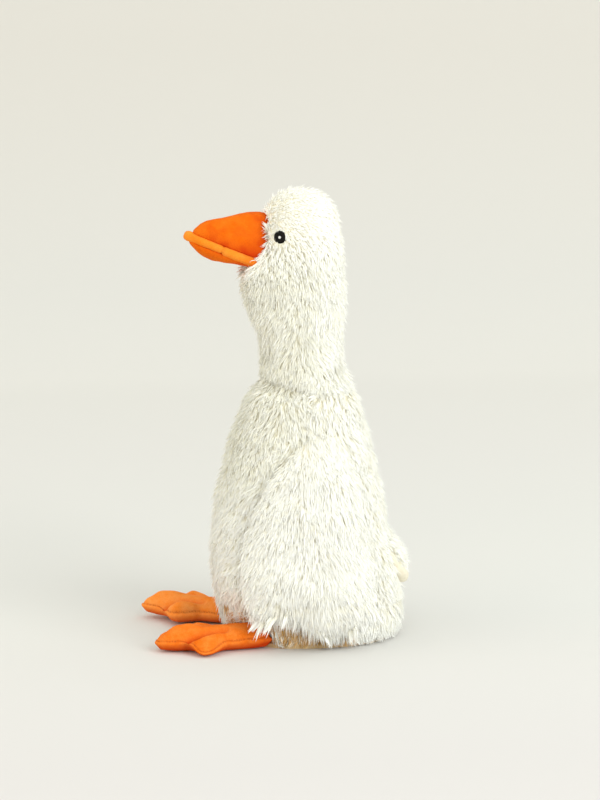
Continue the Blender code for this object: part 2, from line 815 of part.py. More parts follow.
def add_foot(tag, *pose):
    """A foot of two panels. Returns the cutter of the pocket that its ankle is sewn into."""
    place = foot_frame(*pose)
    add_foot_panel("foot_" + tag + "_upper", place, 0)
    add_foot_panel("foot_" + tag + "_sole", place, 1)
    build = bmesh.new()
    skin_between(build, *(foot_sheet(build, place, k, SEAM_GAP) for k in (0, 1)))
    return add_solid("foot_pocket_" + tag, build)


def cut(target, cutters):
    """Cuts each seat or pocket out of a solid."""
    for cutter in cutters:
        made = target.modifiers.new(cutter.name, "BOOLEAN")
        made.operation = "DIFFERENCE"
        made.solver = "EXACT"
        made.object = cutter


def centre_on_floor():
    """Hangs every piece from one empty, which puts the bounding box's centre over the origin."""
    parts = list(bpy.data.collections[COLLECTION].objects)
    corners = [vertex.co for part in parts for vertex in part.data.vertices]
    middle = [(min(c[k] for c in corners) + max(c[k] for c in corners)) / 2 for k in (0, 1)]
    lowest = min(c.z for c in corners)
    root = bpy.data.objects.new("goose", None)
    bpy.data.collections[COLLECTION].objects.link(root)
    for thing in parts + list(bpy.data.collections[CUTTERS].objects):
        thing.parent = root
    root.location = (-middle[0], -middle[1], -lowest)


def main():
    clear_scene()
    torso = add_torso()
    base_panel = add_base_panel()
    add_neck()
    head = add_head()
    for tag, side in (("left", 1.0), ("right", -1.0)):
        add_wing("wing_" + tag, side)
    feet = [
        add_foot("left", 1.0, LEFT_HEEL_FRONT, LEFT_FOOT_SPLAY, LEFT_FOOT_PITCH),
        add_foot("right", -1.0, RIGHT_HEEL_FRONT, RIGHT_FOOT_SPLAY, RIGHT_FOOT_PITCH),
    ]
    cut(torso, feet + [add_tail()])
    cut(base_panel, feet)
    cut(head, add_beak() + [add_eye("left", 1.0), add_eye("right", -1.0)])
    centre_on_floor()


main()
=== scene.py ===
"""The looks of a seated plush goose: white long-pile fabric, orange suede-cloth beak and feet."""

import math

import bmesh
import bpy
import numpy as np
from mathutils import Matrix, Vector, kdtree, noise
from mathutils.bvhtree import BVHTree


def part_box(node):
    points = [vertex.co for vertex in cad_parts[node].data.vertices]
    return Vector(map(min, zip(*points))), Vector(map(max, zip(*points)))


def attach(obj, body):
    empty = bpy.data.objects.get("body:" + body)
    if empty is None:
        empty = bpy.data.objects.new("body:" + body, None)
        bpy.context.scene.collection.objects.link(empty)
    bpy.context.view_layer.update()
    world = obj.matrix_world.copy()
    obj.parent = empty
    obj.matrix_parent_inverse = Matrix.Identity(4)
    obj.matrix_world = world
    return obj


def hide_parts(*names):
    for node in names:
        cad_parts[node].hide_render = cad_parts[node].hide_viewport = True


MM = 0.001
SIDES = (("left", 1), ("right", -1))

# Real sizes of the pile, in millimetres. Its fibres are about 0.03 wide, too fine to show in the render,
# so the strands are drawn about a pixel wide.
STRAND_WIDTH = 0.58
TUFT_SPACING = 2.6
WISP_SPACING = 1.0

# Places that are tried for tufts on one cloth
TRIED_SPOTS = 60000

# Blender seeds its noise vectors from the clock, so without this each run would comb the pile another way
noise.seed_set(1)

# A tuft's painted shade. Tan strands low under the wing and at the heels are partly painted shade with warm
# bounce, partly a tan of the pile; a value from 0 to 1 is the share of strands painted off-white as shade
TAN_AND_PAINTED_SHADE = -1
WHITE = 0

# How far the cloth lies under the tips of its pile, in millimetres
BODY_DEPTH = 2.1
WING_DEPTH = 1.7
TAIL_DEPTH = 1.5

# Heights on the goose, in millimetres
NECK_FOLD = 184
HEAD_SEAM = 262
FACE_START = 258

# The mouth's corner: millimetres ahead of the middle line and above the floor, and the mouth's rise
MOUTH_AHEAD = 38.2
MOUTH_HEIGHT = 281
MOUTH_RISE = math.radians(21.6)

BEAK_NODES = ("beak_upper", "beak_lip", "beak_lower")
FEET_NODES = ("foot_left_upper", "foot_left_sole", "foot_right_upper", "foot_right_sole")

# The photograph's view: the camera's direction, its distance and aim in metres, its lens and its shift
AZIMUTH = math.radians(82.0)
ELEVATION = math.radians(9.5)
DISTANCE = 1.95
AIM_HEIGHT = 0.1752
LENS = 119.9
SENSOR = 36
PICTURE_HEIGHT = 800
SHIFT_PIXELS = (-5.0, -0.7)

# The frame, its box and the middle of its head
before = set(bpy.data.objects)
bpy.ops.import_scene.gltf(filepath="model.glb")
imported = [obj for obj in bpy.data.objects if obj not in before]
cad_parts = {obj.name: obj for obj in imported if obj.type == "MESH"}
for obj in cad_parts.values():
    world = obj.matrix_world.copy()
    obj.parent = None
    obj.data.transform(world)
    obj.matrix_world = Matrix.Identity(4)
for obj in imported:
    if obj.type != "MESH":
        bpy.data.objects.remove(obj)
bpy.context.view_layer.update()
HEAD_LOW, HEAD_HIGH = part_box("head")
MIDDLE = (HEAD_LOW[0] + HEAD_HIGH[0]) / 2
AXIS = HEAD_LOW[1] + 48 * MM


def local(place):
    """The place in millimetres from the goose's middle line."""
    return (place[0] - MIDDLE) / MM, (place[1] - AXIS) / MM, place[2] / MM


def eased(place, low, high):
    """0 at low, 1 at high, and smooth between them."""
    share = min(1.0, max(0.0, (place - low) / (high - low)))
    return share * share * (3 - 2 * share)


def hill(distance, width):
    """1 on a line, and fading with the distance from it."""
    return math.exp(-((distance / width) ** 2))


def swirl(place, size, strength, shift):
    """A slow, smooth change of direction. It turns round over about size millimetres."""
    return noise.noise_vector(Vector(place) / (size * MM) + Vector((shift, 3.1, 7.7))) * strength


# Materials


def linear(code):
    """Linear RGBA from an sRGB hex value."""
    channels = [int(code[i : i + 2], 16) / 255 for i in (0, 2, 4)]
    return tuple(c / 12.92 if c <= 0.04045 else ((c + 0.055) / 1.055) ** 2.4 for c in channels) + (1.0,)


def add_node(tree, kind, inputs=None, stops=(), **settings):
    """Adds a node with its settings and links, and a colour ramp's stops.

    An input is a value, or a socket to link from. A stop is a place and an sRGB hex value.
    """
    node = tree.nodes.new(kind)
    for name, value in settings.items():
        setattr(node, name, value)
    for name, value in (inputs or {}).items():
        if isinstance(value, bpy.types.NodeSocket):
            tree.links.new(value, node.inputs[name])
        else:
            node.inputs[name].default_value = value
    if stops:
        ramp = node.color_ramp.elements
        for _ in stops[2:]:
            ramp.new(0.5)
        for element, (place, code) in zip(ramp, stops):
            element.position = place
            element.color = linear(code)
    return node


def new_material(name, roughness, sheen=0.0, sheen_tint="FFFFFF"):
    """A new material with its tree and its shader."""
    made = bpy.data.materials.new(name)
    made.use_nodes = True
    shader = made.node_tree.nodes["Principled BSDF"]
    shader.inputs["Roughness"].default_value = roughness
    shader.inputs["Sheen Weight"].default_value = sheen
    shader.inputs["Sheen Roughness"].default_value = 0.45
    shader.inputs["Sheen Tint"].default_value = linear(sheen_tint)
    return made, made.node_tree, shader


def grain(tree, size, detail=3.0, roughness=0.6):
    """Noise whose grains are size millimetres across, in the object's own place."""
    place = add_node(tree, "ShaderNodeTexCoord").outputs["Object"]
    node = add_node(
        tree,
        "ShaderNodeTexNoise",
        {"Vector": place, "Scale": 1 / (size * MM), "Detail": detail, "Roughness": roughness},
    )
    return node.outputs["Fac"]


def finish_cloth(tree, shader, tint, relief, depth):
    """Gives the shader its colour, and a relief that is depth millimetres deep."""
    tree.links.new(tint, shader.inputs["Base Color"])
    bump = add_node(tree, "ShaderNodeBump", {"Height": relief, "Distance": depth * MM, "Strength": 1.0})
    tree.links.new(bump.outputs["Normal"], shader.inputs["Normal"])


def long_pile():
    """Polyester plush pile, brushed out: silky near-white tips over a warmer, darker root, which is painted
    shade deep in the pile.
    """
    made, tree, shader = new_material("white_plush_pile", 0.6, 0.3)
    strand = add_node(tree, "ShaderNodeUVMap", uv_map="OFBake")
    parts = add_node(tree, "ShaderNodeSeparateXYZ", {"Vector": strand.outputs["UV"]})
    # The darker, warmer root colour is painted shade, where the strands shade each other
    root_to_tip = ((0.0, "F2E9CA"), (0.35, "FCF8E7"), (0.7, "FFFEF9"), (1.0, "FFFFFC"))
    along = add_node(tree, "ShaderNodeValToRGB", {"Fac": parts.outputs["Y"]}, root_to_tip)
    # Hues: tan from 0 to 0.18, partly painted shade and partly a tan of the pile; white; and off-white
    # towards 1.0, which is painted shade
    hues_with_painted_shade = ((0.0, "C08A40"), (0.12, "E4BA74"), (0.2, "FFFFFF"), (0.8, "FFFFFF"), (1.0, "F0EFE6"))
    each = add_node(tree, "ShaderNodeValToRGB", {"Fac": parts.outputs["X"]}, hues_with_painted_shade)
    inputs = {0: 1.0, 6: along.outputs[0], 7: each.outputs[0]}
    tint = add_node(tree, "ShaderNodeMix", inputs, data_type="RGBA", blend_type="MULTIPLY")
    tree.links.new(tint.outputs[2], shader.inputs["Base Color"])
    return made


def pile_backing(name, dark, light):
    """The knitted cloth that the pile is locked into: dull, with a soft mottle and a fine knit."""
    made, tree, shader = new_material(name, 0.9)
    tint = add_node(tree, "ShaderNodeValToRGB", {"Fac": grain(tree, 4.0)}, ((0.3, dark), (0.7, light)))
    finish_cloth(tree, shader, tint.outputs[0], grain(tree, 1.5), 0.15)
    return made


def suede_cloth(name, dark, plain, light, deep="C63A00", seam="8A2C06"):
    """Brushed polyester suede: dull, soft-edged colour that turns lighter where the nap stands up.

    A piece's shade value brings in the deep colour, which is painted shade, and its seam value the
    thread's.
    """
    made, tree, shader = new_material(name, 0.85, 0.05, light)
    shader.inputs["Specular IOR Level"].default_value = 0.12
    clouds = add_node(
        tree, "ShaderNodeValToRGB", {"Fac": grain(tree, 9.0, 2.0)}, ((0.32, plain), (0.72, light))
    )
    specks = add_node(
        tree,
        "ShaderNodeValToRGB",
        {"Fac": grain(tree, 0.9, 4.0, 0.7)},
        ((0.25, dark), (0.55, plain), (0.85, light)),
    )
    inputs = {0: 0.5, 6: clouds.outputs[0], 7: specks.outputs[0]}
    nap = add_node(tree, "ShaderNodeMix", inputs, data_type="RGBA")
    # The shade attribute mixes in painted shade
    shade = add_node(tree, "ShaderNodeAttribute", attribute_name="shade")
    inputs = {0: shade.outputs["Fac"], 6: nap.outputs[2], 7: linear(deep)}
    shaded = add_node(tree, "ShaderNodeMix", inputs, data_type="RGBA")
    sewn = add_node(tree, "ShaderNodeAttribute", attribute_name="seam")
    stitches = add_node(
        tree, "ShaderNodeMapRange", {"Value": grain(tree, 1.1, 1.0), 1: 0.36, 2: 0.56, 3: 0.35}
    )
    inputs = {0: sewn.outputs["Fac"], 1: stitches.outputs[0]}
    line = add_node(tree, "ShaderNodeMath", inputs, operation="MULTIPLY")
    inputs = {0: line.outputs[0], 6: shaded.outputs[2], 7: linear(seam)}
    tint = add_node(tree, "ShaderNodeMix", inputs, data_type="RGBA")
    finish_cloth(tree, shader, tint.outputs[2], grain(tree, 0.8, 4.0, 0.7), 0.16)
    return made


def velour():
    """Short cut pile of a cream lining: smooth, with a soft bloom at its edges."""
    made, tree, shader = new_material("cream_velour", 0.8, 0.4)
    creams = ((0.25, "E4DBC4"), (0.75, "EFE7D2"))
    tint = add_node(tree, "ShaderNodeValToRGB", {"Fac": grain(tree, 3.0)}, creams)
    finish_cloth(tree, shader, tint.outputs[0], grain(tree, 0.7, 4.0, 0.7), 0.25)
    return made


def thread(name, dark, light):
    """Embroidery thread: fine, slightly glossy satin stitches."""
    made, tree, shader = new_material(name, 0.45)
    shader.inputs["Specular IOR Level"].default_value = 0.15
    tint = add_node(tree, "ShaderNodeValToRGB", {"Fac": grain(tree, 0.5)}, ((0.3, dark), (0.75, light)))
    finish_cloth(tree, shader, tint.outputs[0], grain(tree, 0.35), 0.1)
    return made


# Stuffed forms


def merged_copy(*nodes):
    """The mesh of these CAD nodes together, closed again."""
    build = bmesh.new()
    for node in nodes:
        build.from_mesh(bpy.data.objects[node].data)
    bmesh.ops.remove_doubles(build, verts=build.verts, dist=0.01 * MM)
    return build


def solid_tree(*nodes):
    """A search tree over these CAD nodes."""
    return BVHTree.FromBMesh(merged_copy(*nodes))


def new_piece(name, build, material):
    """A smooth-shaded object from a bmesh, with its material."""
    mesh = bpy.data.meshes.new(name)
    build.to_mesh(mesh)
    build.free()
    for face in mesh.polygons:
        face.use_smooth = True
    mesh.materials.append(material)
    piece = bpy.data.objects.new(name, mesh)
    bpy.context.scene.collection.objects.link(piece)
    return piece


def remeshed(piece, voxel):
    """Gives the piece one closed skin, with voxels of this many millimetres."""
    modifier = piece.modifiers.new("skin", "REMESH")
    modifier.mode = "VOXEL"
    modifier.voxel_size = voxel * MM
    modifier.use_smooth_shade = True
    seen = piece.evaluated_get(bpy.context.evaluated_depsgraph_get())
    mesh = bpy.data.meshes.new_from_object(seen)
    piece.modifiers.clear()
    old = piece.data
    piece.data = mesh
    bpy.data.meshes.remove(old)
    mesh.name = piece.name


def relax(build, rounds, factor=0.5):
    """Evens out a bmesh's vertices."""
    for _ in range(rounds):
        bmesh.ops.smooth_vert(
            build, verts=build.verts, factor=factor, use_axis_x=True, use_axis_y=True, use_axis_z=True
        )


def soft_form(name, nodes, voxel, rounds, depth, material, after=3):
    """One smooth stuffed form over several CAD solids. depth(place) says how far under them it lies."""
    piece = new_piece(name, merged_copy(*nodes), material)
    remeshed(piece, voxel)
    build = bmesh.new()
    build.from_mesh(piece.data)
    relax(build, rounds)
    build.normal_update()
    moves = [vert.normal * -depth(vert.co) * MM for vert in build.verts]
    for vert, move in zip(build.verts, moves):
        vert.co += move
    relax(build, after)
    build.to_mesh(piece.data)
    build.free()
    return piece


def smooth_form(name, nodes, voxel, rounds, material):
    """A stuffed form over these CAD solids with their edges rounded, ready for its seams."""
    piece = soft_form(name, nodes, voxel, rounds, lambda place: 0.0, material, 0)
    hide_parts(*nodes)
    return piece


def reshaped(piece, move, marks=None):
    """Moves each vertex by move(place, outward) in millimetres. marks(place) gives its seam and shade."""
    build = bmesh.new()
    build.from_mesh(piece.data)
    build.normal_update()
    layers = [build.verts.layers.float.new(name) for name in ("seam", "shade")]
    for vert in build.verts:
        for layer, share in zip(layers, marks(vert.co) if marks else (0.0, 0.0)):
            vert[layer] = min(1.0, max(0.0, share))
    moves = [move(vert.co, vert.normal) * MM for vert in build.verts]
    for vert, shift in zip(build.verts, moves):
        vert.co += shift
    relax(build, 1, 0.4)
    build.to_mesh(piece.data)
    build.free()


def seam_line(upper, lower, reach):
    """A function that measures from the seam of two CAD solids.

    It gives a place's level over the seam, the seam's nearest place and how far that is, in millimetres.
    """
    trees = [solid_tree(node) for node in (upper, lower)]
    build = merged_copy(upper)
    edge = [v.co.copy() for v in build.verts if trees[1].find_nearest(v.co)[3] < reach * MM]
    build.free()
    line = kdtree.KDTree(len(edge))
    for number, place in enumerate(edge):
        line.insert(place, number)
    line.balance()

    def measure(place):
        over = trees[0].find_nearest(place)[3]
        under = trees[1].find_nearest(place)[3]
        near, _, away = line.find(place)
        return (under - over) / MM, near, away / MM

    return measure


# The body, the wings and the tail


def fold_height(y):
    """The height in millimetres of the fold where the neck meets the torso: higher at the front."""
    return NECK_FOLD + 8 * eased(-y, -5, 30)


def body_depth(place):
    """How far under the solids the body's cloth lies: deeper at the neck's fold and low on its sides."""
    x, y, z = local(place)
    front = eased(-y, -25, 20)
    fold = fold_height(y)
    crease = 5.5 * hill(z - fold, 4.5) * (0.15 + 0.85 * front) + 2.5 * hill(z - fold + 5, 6) * front
    if z > HEAD_SEAM:
        face = hill(y + 16, 14) if y < 6 else 0.0
        return 3.0 - 1.8 * face - 2.6 * eased(z, 296, 326)
    if z > fold:
        slim = 1.2 * eased(z, 190, 200) * (1 - eased(z, 250, HEAD_SEAM)) + 1.5 * hill(z - 212, 20)
        return BODY_DEPTH + slim + 3.0 * hill(z - 205, 17) * eased(y, 0, 30) + crease
    if z < 40:
        side = min(1.0, abs(x) / 40)
        return (2.7 + 5.0 * side * (1 - abs(z - 22) / 18 if z > 4 else 0)) * min(1.0, max(0.1, z / 18))
    return BODY_DEPTH + crease


def stuff_body(backing):
    """The torso, neck and head as one stuffed form, with full cheeks round the beak."""
    body = soft_form("stuffed_body", ("torso", "neck", "head"), 3.6, 8, body_depth, backing)
    for vert in body.data.vertices:
        x, y, z = local(vert.co)
        cheek = eased(abs(x), 6, 14) * eased(-y, 0, 22) * eased(z, FACE_START, 270)
        vert.co.y -= (8.0 * hill(z - 275, 13) + 3.5 * hill(z - 297, 8)) * cheek * MM
    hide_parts("torso", "neck", "head")
    return body


def stuff_wing(side, sign, backing):
    """A wing that lies close to the body at its top and front, and reaches forward low down."""
    wing = soft_form(f"stuffed_wing_{side}", (f"wing_{side}",), 2.6, 5, lambda place: WING_DEPTH, backing)
    for vert in wing.data.vertices:
        _, y, z = local(vert.co)
        fade = min(1.0, max(0.0, (z - 105) / 50)) ** 1.3
        edge = min(1.0, max(0.0, (-y - 4) / 26)) * min(1.0, max(0.0, (z - 60) / 60))
        vert.co.x -= sign * (8.5 * fade + 2.0 * edge * (1 - fade)) * MM
        vert.co.y -= 6.0 * eased(-y, 2, 28) * (1 - eased(z, 60, 110)) * MM
    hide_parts(f"wing_{side}")
    return wing


def stuff_tail(backing):
    """The tail's upper cloth."""
    tail = soft_form("stuffed_tail", ("tail_top",), 2.0, 4, lambda place: TAIL_DEPTH, backing)
    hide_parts("tail_top")
    return tail


def stuff_tail_end(cream):
    """The tail's smooth, blunt end, which stands out most low down."""

    def swell(place, outward):
        nub = 2.2 * (1 - eased(local(place)[2], 42, 58))
        return outward * (1.6 + noise.noise(place / (9 * MM)) * 0.6 + nub)

    lining = smooth_form("tail_end", ("tail_lining",), 1.6, 3, cream)
    reshaped(lining, swell)
    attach(lining, "root")


# The pile


class Cloth:
    """A form's surface, as the pile needs it."""

    def __init__(self, *pieces):
        places, corners, normals = [], [], []
        for piece in pieces:
            mesh = piece.data
            mesh.calc_loop_triangles()
            first = sum(len(part) for part in places)
            points = np.empty(len(mesh.vertices) * 3)
            mesh.vertices.foreach_get("co", points)
            outward = np.empty(len(mesh.vertices) * 3)
            mesh.vertices.foreach_get("normal", outward)
            triangles = np.empty(len(mesh.loop_triangles) * 3, dtype=np.int32)
            mesh.loop_triangles.foreach_get("vertices", triangles)
            places.append(points.reshape(-1, 3))
            normals.append(outward.reshape(-1, 3))
            corners.append(triangles.reshape(-1, 3) + first)
        self.places = np.concatenate(places)
        self.normals = np.concatenate(normals)
        self.corners = np.concatenate(corners)
        self.tree = BVHTree.FromPolygons(self.places.tolist(), self.corners.tolist())

    def scatter(self, random, count):
        """Places and outward directions spread evenly by area."""
        a, b, c = (self.places[self.corners[:, i]] for i in range(3))
        area = np.linalg.norm(np.cross(b - a, c - a), axis=1)
        chosen = random.choice(len(area), count, p=area / area.sum())
        u, v = random.random((2, count))
        over = u + v > 1
        u[over], v[over] = 1 - u[over], 1 - v[over]
        shares = np.stack([1 - u - v, u, v], 1)[..., None]
        corners = self.corners[chosen]
        outward = unit((self.normals[corners] * shares).sum(1))
        return (self.places[corners] * shares).sum(1), outward


def unit(vectors):
    """Each vector at length 1."""
    return vectors / np.maximum(np.linalg.norm(vectors, axis=-1, keepdims=True), 1e-12)


def thinned(points, spacing):
    """The numbers of points that lie about a spacing apart."""
    cells = np.floor(points / spacing).astype(np.int64)
    return np.unique(cells, axis=0, return_index=True)[1]


def nearest(points, centres):
    """For each point the number of the nearest centre."""
    tree = kdtree.KDTree(len(centres))
    for number, centre in enumerate(centres):
        tree.insert(centre, number)
    tree.balance()
    return np.array([tree.find(point)[1] for point in points])


def comb_path(cloth, root, outward, way, length, lift, hang, loose):
    """Five places along one tuft, from its root to its tip.

    It lies over the cloth and rises by lift. Past the cloth's edge it hangs free, and its share loose
    draws it straight off the cloth. A larger hang pulls it down more.
    """
    steps = 4
    spot = Vector(root)
    out = Vector(outward)
    way = Vector(way)
    straight = Vector(root)
    flight = Vector(way)
    path = [spot - out * 0.4 * MM]
    for step in range(1, steps + 1):
        ahead = spot + way * (length / steps)
        flight = (flight + Vector((0, 0, -0.3 * hang))).normalized()
        straight = straight + flight * (length / steps)
        near, facing, _, away = cloth.tree.find_nearest(ahead)
        rise = lift * (1.0 - (1.0 - step / steps) ** 1.7)
        if away > 1.2 * MM and (ahead - near).dot(facing) > 0:
            spot = ahead
            way = (way + Vector((0, 0, -hang))).normalized()
        else:
            spot = near
            out = facing
            way = way - out * way.dot(out) + Vector((0, 0, -0.15 * hang))
            way = (way - out * way.dot(out)).normalized()
        laid = spot + out * rise
        path.append(laid.lerp(straight + Vector(outward) * rise, loose * step / steps))
    return path


def plan_tufts(random, cloth, over, habit, spacing, turning):
    """Where the tufts stand on the cloth, the paths that they lie along, and their shades."""
    spots, outwards = cloth.scatter(random, TRIED_SPOTS)
    tufts = []
    for number in thinned(spots, spacing):
        spot, outward = Vector(spots[number]), Vector(outwards[number])
        lie = habit(spot, outward)
        if lie is None:
            continue
        way, length, lift, hang, loose, shade = lie
        way = Matrix.Rotation(random.normal(0.0, turning), 3, outward) @ way
        way = (way - outward * way.dot(outward)).normalized()
        length *= random.uniform(0.85, 1.1) * MM
        lift *= random.uniform(0.9, 1.1) * MM
        path = comb_path(over, spot, outward, way, length, lift, hang, loose)
        tufts.append((tuple(spot), [tuple(p) for p in path], shade))
    return [np.array(part) for part in zip(*tufts)]


def spread_roots(random, cloth, centres, spacing, count):
    """The strands' roots and their outward directions, each close to a tuft's centre."""
    roots, ups = np.zeros((0, 3)), np.zeros((0, 3))
    while len(roots) < count:
        more, facing = cloth.scatter(random, count)
        gap = np.linalg.norm(more - centres[nearest(more, centres)], axis=1)
        close = gap < spacing * 1.1
        roots = np.concatenate([roots, more[close]])
        ups = np.concatenate([ups, facing[close]])
    return roots[:count], ups[:count]


def strand_lines(random, centres, paths, own, roots, ups, clump, stray):
    """Each strand's root, middle and tip: along its tuft's path, gathered in wisps, and straying a little.

    own is the number of each strand's tuft. clump says how far a tuft closes up to its tip, and stray how
    many millimetres a strand's tip may wander. A few strands stand off the cloth.
    """
    count = len(roots)
    wisps = roots[thinned(roots, WISP_SPACING * MM)]
    wisp = wisps[nearest(roots, wisps)]
    reach = random.uniform(0.62, 1.0, count)
    tight = random.uniform(0.0, clump, len(centres))[own]
    wander = unit(random.normal(size=(count, 3))) * random.uniform(0.0, stray * MM, (count, 1))
    wander -= ups * 0.55 * (wander * ups).sum(1, keepdims=True)
    flyaway = np.where(random.random((count, 1)) < 0.08, random.uniform(0.5, 3.5, (count, 1)), 0.0)
    wander += ups * flyaway * MM
    lines = np.zeros((3, count, 3))
    for k, ring in enumerate(np.array([0.0, 0.5, 1.0])):
        at = ring * reach * (paths.shape[1] - 1)
        low = np.minimum(at.astype(int), paths.shape[1] - 2)
        part = (at - low)[:, None]
        guide = paths[own, low] * (1 - part) + paths[own, low + 1] * part
        gather = ring**0.8
        root = roots + (wisp - roots) * gather * 0.3
        offset = (root - centres[own]) * (1.0 - tight * gather)[:, None]
        lines[k] = guide + offset + wander * ring
    lines[..., 2] = np.maximum(lines[..., 2], 0.7 * MM)
    return lines


def strand_form():
    """One strand's places (across, up, along) and faces: a blade that is pointed at both ends."""
    build = bmesh.new()
    for place in ((0.0, 0.0, 0.0), (-0.5, 0.1, 0.5), (0.5, 0.1, 0.5), (0.0, 0.0, 1.0)):
        build.verts.new(place)
    bmesh.ops.convex_hull(build, input=build.verts)
    bmesh.ops.recalc_face_normals(build, faces=build.faces)
    build.verts.ensure_lookup_table()
    build.verts.index_update()
    places = np.array([tuple(vert.co) for vert in build.verts])
    faces = np.array([[vert.index for vert in face.verts] for face in build.faces])
    build.free()
    return places, faces


def strand_mesh(name, lines, ups, girth, hue):
    """One mesh of many strands. Its UV map holds each strand's hue, and the place along the strand."""
    count = lines.shape[1]
    places, faces = strand_form()
    along = unit(lines[2] - lines[0])
    side = unit(np.cross(ups, along))
    top = np.cross(along, side)
    points = np.empty((count, len(places), 3))
    for v, (across, up, height) in enumerate(places):
        points[:, v] = lines[int(round(height * 2))] + (side * across + top * up) * girth
    root, left, right, tip = (points[:, v] for v in range(4))
    inside_out = np.einsum("ij,ij->i", np.cross(left - root, right - root), tip - root) > 0
    turned = np.where(inside_out[:, None, None], faces[:, ::-1][None], faces[None])
    corners = (turned + (np.arange(count) * len(places))[:, None, None]).reshape(-1)
    mesh = bpy.data.meshes.new(name)
    mesh.vertices.add(count * len(places))
    mesh.vertices.foreach_set("co", points.reshape(-1))
    mesh.loops.add(len(corners))
    mesh.loops.foreach_set("vertex_index", corners.astype(np.int32))
    mesh.polygons.add(len(corners) // 3)
    mesh.polygons.foreach_set("loop_start", np.arange(0, len(corners), 3, dtype=np.int32))
    mesh.update(calc_edges=True)
    mesh.polygons.foreach_set("use_smooth", np.zeros(len(mesh.polygons), dtype=bool))
    strand_map = mesh.uv_layers.new(name="OFBake")
    u = hue[:, None] + 0.03 * (places[None, :, 0] + 0.5)
    v = np.broadcast_to(places[None, :, 2], u.shape)
    uv = np.stack([u, v * 0.98 + 0.01], 2).reshape(-1, 2)
    strand_map.data.foreach_set("uv", uv[corners].reshape(-1))
    return mesh


def grow_pile(
    name,
    cloth,
    over,
    habit,
    count,
    seed,
    material,
    spacing=TUFT_SPACING,
    clump=0.25,
    stray=2.2,
    turning=0.16,
):
    """Strands in tufts on a cloth, laid over what is near, with habit(place, outward) for how they lie."""
    random = np.random.default_rng(seed)
    spacing = spacing * MM
    centres, paths, shades = plan_tufts(random, cloth, over, habit, spacing, turning)
    roots, ups = spread_roots(random, cloth, centres, spacing, count)
    own = nearest(roots, centres)
    lines = strand_lines(random, centres, paths, own, roots, ups, clump, stray)
    girth = STRAND_WIDTH * MM * random.uniform(0.6, 1.1, count)[:, None]
    share = random.random(count)
    # Off-white hues are painted shade, and tan hues are partly painted shade
    hue = np.where(random.random(count) < shades[own], 0.86 + 0.1 * share, 0.2 + 0.6 * share)
    hue = np.where(shades[own] < 0, 0.18 * share, hue)
    mesh = strand_mesh(name, lines, ups, girth, hue)
    mesh.materials.append(material)
    piece = bpy.data.objects.new(name, mesh)
    bpy.context.scene.collection.objects.link(piece)
    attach(piece, "root")


